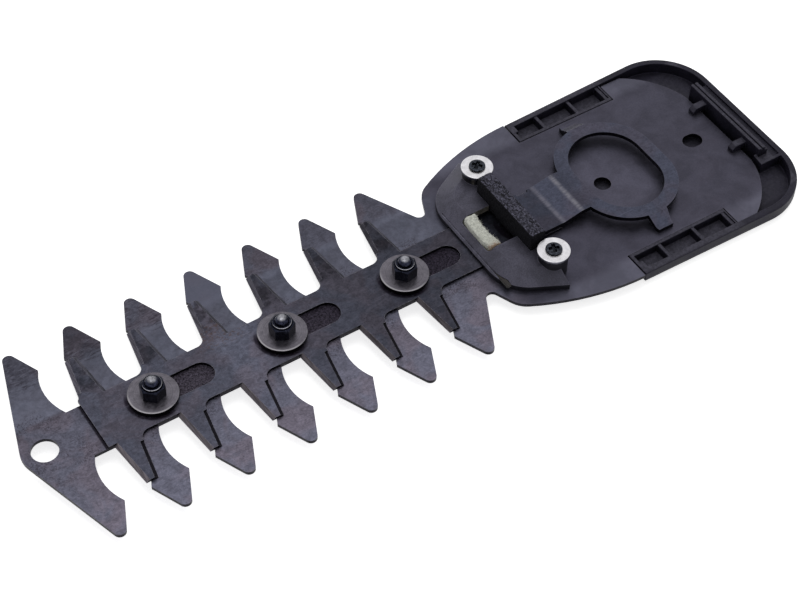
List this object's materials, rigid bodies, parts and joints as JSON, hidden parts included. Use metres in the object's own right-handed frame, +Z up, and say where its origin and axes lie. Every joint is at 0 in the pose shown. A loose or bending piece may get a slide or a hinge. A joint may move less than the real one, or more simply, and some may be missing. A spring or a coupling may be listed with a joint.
{
  "type": "hedge trimmer blade",
  "caption": "Clip-in shrub shear blade: a toothed sheet with holder floor, a bevelled blade sliding on it, an oval crank yoke, a guide housing and a moulded tray below.",
  "frame": {"origin": "middle of the crank pilot hole, on the top face of the fixed blade", "axes": "+X forward to the blade's tip, +Y to the left seen from above, +Z up, square to the blades, towards the machine"},
  "size_m": [0.218, 0.065, 0.0134],
  "materials": {
    "blade_steel": "blackened, lengthwise grain",
    "sliding_steel": "blackened, ground bevels",
    "yoke_steel": "blackened, bright bend lines",
    "housing_plastic": "fine texture, satin",
    "cover_plastic": "fine texture, satin",
    "cell_rubber": "open cells, matt",
    "cream_felt": "soft fibres, brown at one end",
    "brown_felt": "oiled fibres",
    "bush_steel": "turned",
    "washer_steel": "blackened, turned",
    "nut_steel": "blackened, bright edges",
    "bolt_steel": "rolled, domed end bright",
    "bright_washer": "zinc bright",
    "black_screw": "black oxide"
  },
  "bodies": {
    "holder": {"bottom_cover": "cover_plastic", "fixed_blade": "blade_steel", "guide_housing": "housing_plastic", "oil_felt": "cream_felt", "wiper_felt": "brown_felt", "seal_block": "cell_rubber", "slot_bush_1": "bush_steel", "blade_washer_1": "washer_steel", "blade_nut_1": "nut_steel", "blade_bolt_1": "bolt_steel", "slot_bush_2": "bush_steel", "blade_washer_2": "washer_steel", "blade_nut_2": "nut_steel", "blade_bolt_2": "bolt_steel", "slot_bush_3": "bush_steel", "blade_washer_3": "washer_steel", "blade_nut_3": "nut_steel", "blade_bolt_3": "bolt_steel", "housing_washer_1": "bright_washer", "housing_screw_1": "black_screw", "housing_washer_2": "bright_washer", "housing_screw_2": "black_screw"},
    "cutter": {"moving_blade": "sliding_steel", "drive_yoke": "yoke_steel"}
  },
  "joints": [
    {"name": "blade_slide", "type": "slide", "parent": "holder", "child": "cutter", "axis": [1, 0, 0], "range_m": [0, 0.008]}
  ]
}
